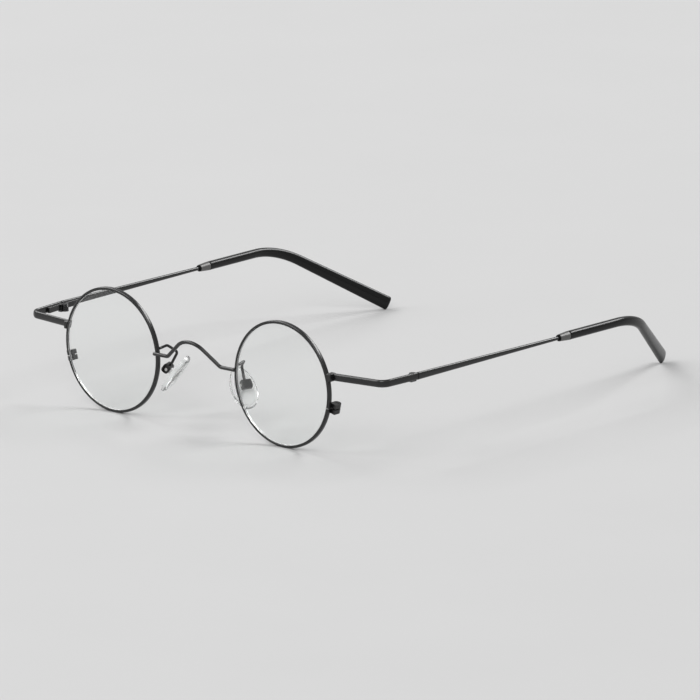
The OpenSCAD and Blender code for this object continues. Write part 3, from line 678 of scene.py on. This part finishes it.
# the tip's distances and insets: its lip and its end are rounded off, with even steps between
def tipStops():
    size = tipSize
    front, end = ferruleEnd + size["gap"], templeSize["length"]
    lipBack, lipInset = (size["edge"] * part for part in quarter(fineness["edge"]))
    endInset, endLeft = (size["end"] * part[1:] for part in quarter(size["endSteps"]))
    middle = np.linspace(front + size["clearOfLip"], end - size["end"], size["rings"])
    return (np.concatenate([front + lipBack, middle, end - endLeft]),
            np.concatenate([lipInset, 0 * middle, endInset]))


# from the middle line's frame to the design frame: pitched down, splayed outwards and set at the butt
def templePlace(points, pitch):
    return butt + turned(turned(points, "X", -pitch), "Z", -templeSize["splay"])


# the pitch at which the tip's lowest point meets the floor, found by halving the range again and again
def findPitch():
    points = tipRings(*tipStops()).reshape(-1, 3)
    low, high = 0.0, templeSize["steepest"]
    for halving in range(templeSize["halvings"]):
        pitch = (low + high) / 2
        if templePlace(points, pitch)[:, 2].min() > tipFloor:
            low = pitch
        else:
            high = pitch
    return pitch


pitch = findPitch()
print("temple pitch", round(pitch, 4))


# the arm, a flattened superellipse that thins evenly to the round core, and the core on to its end
def temple(side):
    size = templeSize
    clear = size["clearOfEnds"]
    back, inset = (size["ending"] * part for part in quarter(size["endingSteps"]))
    distance = np.concatenate([endpieceSize["buttGap"] / 2 + back,
                               np.linspace(clear, ferruleSize["start"] - clear, size["rings"])])
    share = (distance - distance[0]) / (distance[-1] - distance[0])
    trim = np.concatenate([1 - inset, np.ones(size["rings"])])  # the first rings are a little smaller
    arm = templeRings(distance, trim * (size["height"] + (size["core"] - size["height"]) * share),
                      trim * (size["thick"] + (size["core"] - size["thick"]) * share),
                      2 + (size["flatness"] - 2) * (1 - share) ** size["rounding"], size["points"])
    stops = np.concatenate([[ferruleSize["start"] + clear],
                            np.linspace(size["bendStart"], bendEnd, size["bendRings"]), [coreEnd]])
    core = templeRings(stops, size["core"], size["core"], 2, size["points"])
    shell(f"temple_arm_{side}", [templePlace(np.concatenate([arm, core]), pitch)], sides[side],
          f"temple_{side}", f"temple_{side}", ["metal"], along=np.concatenate([distance, stops]))


# a profile of bore, nose, neck, hip and heel, turned about the middle line
def ferrule(side):
    size = ferruleSize
    bore, front, length = templeSize["core"] / 2 + size["gap"], size["front"] / 2, size["length"]
    back = tipSize["thick"] / 2 + size["over"]
    profile = rounded(
        [(bore, 0), (front - size["noseIn"], 0), (front, size["noseBack"]),
         (front + size["neckOut"], size["neckBack"]), (back - size["hipIn"], length - size["hipBack"]),
         (back, length - size["heel"]), (back - size["heel"], length), (bore, length)], size["rounds"])[0]
    rings = turnedRings(profile, size["steps"]) + (0, size["start"], 0)
    shell(f"ferrule_ring_{side}", [templePlace(rings, pitch)], sides[side], f"temple_{side}",
          f"ferrule_{side}", ["satin"], joined=True)


# a round channel for the core from its bottom to the lip, and the outside from the lip to the end
def tip(side):
    size = tipSize
    distance, inset = tipStops()
    bore = templeSize["core"] + 2 * ferruleSize["gap"]
    deep = np.concatenate([[coreEnd + size["clearOfCore"]],
                           np.linspace(bendEnd, templeSize["bendStart"], templeSize["bendRings"]),
                           [ferruleEnd + size["gap"]]])
    channel = templeRings(deep, bore, bore, 2, size["points"])
    rings = np.concatenate([channel, tipRings(distance, inset)])
    shell(f"tip_sleeve_{side}", [templePlace(rings, pitch)], sides[side], f"temple_{side}", f"tip_{side}",
          ["plastic"], along=np.concatenate([deep, distance]))


for side in sides:
    temple(side)
    ferrule(side)
    tip(side)
print("temples made")

# The nose pads: bent arm, stiff core and silicone.
padSize = {"length": 13.4, "width": 8.4, "thick": 1.8, "taper": 0.12, "frontal": 38, "splay": 20,
           "up": 0.3, "back": 4.8, "drop": 3.6, "out": 0.1, "face": -2.15, "rimDepth": 0.45,
           "rimRound": 0.3, "rimSteps": 8, "crownSteps": 26, "crownPower": 2 / 3, "margin": 1,
           "mouthDepth": 0.05, "mouthWiden": 0.1, "plate": 0.8, "plateEdge": 0.15, "tabWidth": 1.1,
           "tabR": 0.8, "tabEdge": 0.1, "tabInPlate": 0.2, "tabSteps": 17, "gap": 0.02, "points": 72}
armSize = {"wire": 0.8, "bend": 0.9, "rise": 2.9, "lift": 0.4, "stem": 5.8, "lean": 0.7, "stub": 0.8,
           "shift": 0.3, "kneeIn": 0.3, "topBack": 0.3, "out": 0.1, "foot": 0.9, "boxHeight": 2.76,
           "gap": 0.02, "ending": 0.12, "bendStep": 4}
padMiddle = np.array([lensX - lensR + padSize["out"], padSize["back"], lensZ - padSize["drop"]])


# to the design frame from the pad's, with X away from the nose, Y along the screw and Z up the pad: turned
# by the pad's two angles and moved to its middle
def padPlace(points):
    return padMiddle + turned(turned(np.asarray(points, float), "Y", -padSize["frontal"]),
                              "Z", -padSize["splay"])


# a bent wire from the back of the rim by way of the knee and the top to the top of the pad box
def padArm(side):
    size = armSize
    rootX = lensX - math.sqrt(((rimInnerR + rimOuterR) / 2) ** 2 - size["rise"] ** 2)
    root = np.array([rootX, rimDepth + size["gap"], lensZ + size["rise"]])
    knee = np.array([rootX - size["shift"], padSize["back"] - size["kneeIn"], root[2] + size["lift"]])
    top = padPlace([size["lean"], size["topBack"], size["stem"]])
    low = padPlace([size["out"], 0, size["boxHeight"] / 2 + size["foot"]])
    foot = padPlace([size["out"], 0, size["boxHeight"] / 2 + size["gap"]])
    rings = barRings([root, root + (0, size["stub"], 0), knee, top, low, foot], [size["bend"]] * 4,
                     circle(size["wire"]), (0, 0, 1), size["ending"], size["bendStep"])
    shell(f"pad_wire_{side}", [rings], sides[side], "front", f"pad_arm_{side}", ["metal"])


# egg outlines at the places x: half the length times the sine, and half the width times the cosine,
# which the taper makes a little narrower at the top
def eggs(length, width, x):
    length, width, x = (np.asarray(size, float)[:, None] for size in (length, width, x))
    angles = np.arange(padSize["points"]) * 2 * math.pi / padSize["points"]
    taper = 1 - padSize["taper"] * np.sin(angles)
    return np.stack([x + 0 * angles, width / 2 * np.cos(angles) * taper,
                     padSize["up"] + length / 2 * np.sin(angles)], -1)


# the pad's silicone: a pocket for the core, a rounded rim, and towards the nose a crowned face, whose
# size and depth are a cosine and a sine to the same power
def silicone(side):
    size = padSize
    length, width, face, rimDeep = size["length"], size["width"], size["face"], size["rimDepth"]
    pocket = 2 * (size["margin"] - size["gap"]) - np.array([0, 0, size["mouthWiden"]])
    mouth = eggs(length - pocket, width - pocket,
                 [face - size["plate"] - size["gap"], face - size["mouthDepth"], face])
    back, inset = quarter(size["rimSteps"])
    inset = 2 * size["rimRound"] * inset
    lip = eggs(length - inset, width - inset, face - rimDeep * back)
    angles = np.radians(np.linspace(0, 90, size["crownSteps"]))[1:-1]
    shrink, deep = np.cos(angles) ** size["crownPower"], np.sin(angles) ** size["crownPower"]
    crown = eggs(length * shrink, width * shrink, face - rimDeep - (size["thick"] - rimDeep) * deep)
    rings = np.concatenate([mouth, lip, crown])
    shell(f"silicone_pad_{side}", [padPlace(rings)], sides[side], f"pad_{side}", f"nose_pad_{side}",
          ["silicone"], along=np.arange(float(len(rings))))


# the stiff core: an egg-shaped plate with soft edges, and a tab with a half-round end, whose outline is
# carried along the screw
def core(side):
    size = padSize
    back, inset = (size["plateEdge"] * part for part in quarter(fineness["edge"]))
    shrink = 2 * size["margin"] + 2 * np.concatenate([inset, inset[::-1]])
    x = np.concatenate([size["face"] - size["plate"] + back, (size["face"] - back)[::-1]])
    plate = eggs(size["length"] - shrink, size["width"] - shrink, x)
    radius, reach = size["tabR"], size["face"] - size["tabInPlate"]
    turn = np.radians(np.linspace(-90, 90, size["tabSteps"]))
    end = radius * np.stack([np.cos(turn), np.sin(turn)], -1)
    outline = np.concatenate([[(reach, -radius)], end, [(reach, radius)]])
    back, inset = (size["tabEdge"] * part for part in quarter(fineness["edge"]))
    y = np.concatenate([-size["tabWidth"] / 2 + back, (size["tabWidth"] / 2 - back)[::-1]])
    scale = 1 - np.concatenate([inset, inset[::-1]]) / radius
    flat = outline @ np.array([(1, 0, 0), (0, 0, 1)])
    tab = flat * scale[:, None, None] + y[:, None, None] * np.array([0, 1, 0])
    shell(f"pad_plate_{side}", [padPlace(plate), padPlace(tab)], sides[side], f"pad_{side}",
          f"pad_core_{side}", ["frosted"])


for side in sides:
    padArm(side)
    silicone(side)
    core(side)
print("pads made")

# What stays from the CAD: hinges, locks, pad boxes and screws, each with its look and its edges' width.
fittings = {"hinge_front": ("metal", 0.06), "hinge_rear": ("metal", 0.06), "lock_upper": ("metal", 0.08),
            "lock_lower": ("metal", 0.08), "pad_box": ("metal", 0.07), "hinge_screw": ("metal", 0.04),
            "lock_screw": ("metal", 0.04), "pad_screw": ("steel", 0.05)}
fittingEdges = {"weld": 0.0005, "flatAngle": 1, "bevelAngle": 35, "segments": 3}


# a CAD node with its look, its loose triangles welded, flat faces joined and edges rounded off
def dress(node, look, width):
    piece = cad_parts[node]
    piece.data.materials.clear()
    piece.data.materials.append(looks[look])
    weld = piece.modifiers.new("weld", "WELD")
    weld.merge_threshold = fittingEdges["weld"] * mm
    flat = piece.modifiers.new("flat_faces", "DECIMATE")
    flat.decimate_type, flat.angle_limit = "DISSOLVE", math.radians(fittingEdges["flatAngle"])
    bevel = piece.modifiers.new("soft_edges", "BEVEL")
    bevel.width, bevel.segments = width * mm, fittingEdges["segments"]
    bevel.limit_method, bevel.angle_limit = "ANGLE", math.radians(fittingEdges["bevelAngle"])
    bevel.use_clamp_overlap = True
    even = piece.modifiers.new("even_normals", "WEIGHTED_NORMAL")
    even.keep_sharp = True


for stem, (look, width) in fittings.items():
    for side in sides:
        dress(f"{stem}_{side}", look, width)
print("small fittings dressed")

# The studio, in metres: a pale floor in pale surroundings, and four soft lamps. One stands behind the
# glasses, one at their left as the camera sees them, one at the front left and one near the camera.
studio = {"dark": 0.591, "light": 0.609, "tone": (0.02, 2.0), "roughness": 0.75, "halfSize": 30,
          "surroundings": 0.66, "ambient": 0.22}
lamps = {"behind": {"size": (1.8, 0.7), "power": 42, "place": (0.72, 2.05, 1.92)},
         "left": {"size": (2.2, 1.3), "power": 40, "place": (-2.4, 0.05, 2.1)},
         "side": {"size": (1.4, 2.2), "power": 36, "place": (-1.5, -1.86, 1.8)},
         "front": {"size": (1.6, 1.4), "power": 27, "place": (1.1, -2.0, 1.8)}}


# one large level square with a faint cloud in its tone
def floor():
    nodes, half = Nodes("pale_floor"), studio["halfSize"]
    tone = nodes.noise(nodes.place(), *studio["tone"])
    colour = nodes.mix(tone, grey(studio["dark"]), grey(studio["light"]))
    mesh = bpy.data.meshes.new("floor")
    corners = [(-half, -half, 0), (half, -half, 0), (half, half, 0), (-half, half, 0)]
    mesh.from_pydata(corners, [], [(0, 1, 2, 3)])
    mesh.materials.append(nodes.finish(nodes.surface({
        "Base Color": colour, "Roughness": studio["roughness"]})))
    piece = addObject("floor", mesh)


# what is seen straight on, in metal and through glass is the pale backdrop; what lights the part is dimmer
def surroundings():
    world = bpy.data.worlds.new("studio")
    nodes = Nodes("studio", world)
    kinds = ("Camera", "Glossy", "Transmission")
    seen = sum(nodes.node("LightPath", output=f"Is {kind} Ray") for kind in kinds)
    strength = nodes.ramp(seen, 0.0, 1.0, studio["ambient"], studio["surroundings"])
    background = nodes.node("Background", None, {"Strength": strength})
    nodes.node("OutputWorld", None, {"Surface": background})
    bpy.context.scene.world = world


# puts a lamp or the camera at its place, in metres, with its own X, Y and Z along three unit vectors
def stand(name, data, across, upward, back, place):
    holder = addObject(name, data)
    holder.matrix_world = Matrix([(across[i], upward[i], back[i], place[i]) for i in range(3)]
                                 + [(0, 0, 0, 1)])
    return holder


# a lamp that faces the part
def lamp(name):
    light = bpy.data.lights.new("lamp_" + name, "AREA")
    light.shape, light.energy = "RECTANGLE", lamps[name]["power"]
    light.size, light.size_y = lamps[name]["size"]
    place = np.array(lamps[name]["place"])
    back = unit(place)
    across = unit(np.cross((0, 0, 1), back))
    stand("lamp_" + name, light, across, np.cross(back, across), back, place)


# The camera stands where the photograph's perspective was solved, with the photograph's slight roll.
# Its farthest sight is in metres, and its other lengths are in millimetres.
cameraSet = {"azimuth": 43.24, "elevation": 14.01, "roll": -1.58, "distance": 2774, "lens": 496.5,
             "sensor": 36, "farthest": 100, "target": (16.0, 48.2, 16.2), "sideStep": -0.575}


# looks at the target along azimuth and elevation; the roll turns its own X and Y about its line of sight
def camera():
    azimuth, elevation, roll = (math.radians(cameraSet[k]) for k in ("azimuth", "elevation", "roll"))
    back = np.array([math.sin(azimuth) * math.cos(elevation), -math.cos(azimuth) * math.cos(elevation),
                     math.sin(elevation)])
    right = np.array([math.cos(azimuth), math.sin(azimuth), 0])
    up = np.cross(back, right)
    across = math.cos(roll) * right + math.sin(roll) * up
    upward = math.cos(roll) * up - math.sin(roll) * right
    target = np.array(cameraSet["target"]) + (0, originY, 0) + cameraSet["sideStep"] * across
    eye = bpy.data.cameras.new("camera")
    eye.lens, eye.sensor_width, eye.sensor_fit = cameraSet["lens"], cameraSet["sensor"], "HORIZONTAL"
    eye.clip_end = cameraSet["farthest"]
    place = (target + cameraSet["distance"] * back) * mm
    bpy.context.scene.camera = stand("camera", eye, across, upward, back, place)


floor()
surroundings()
for name in lamps:
    lamp(name)
camera()
bpy.context.scene.view_settings.view_transform = "Standard"
print("studio made")
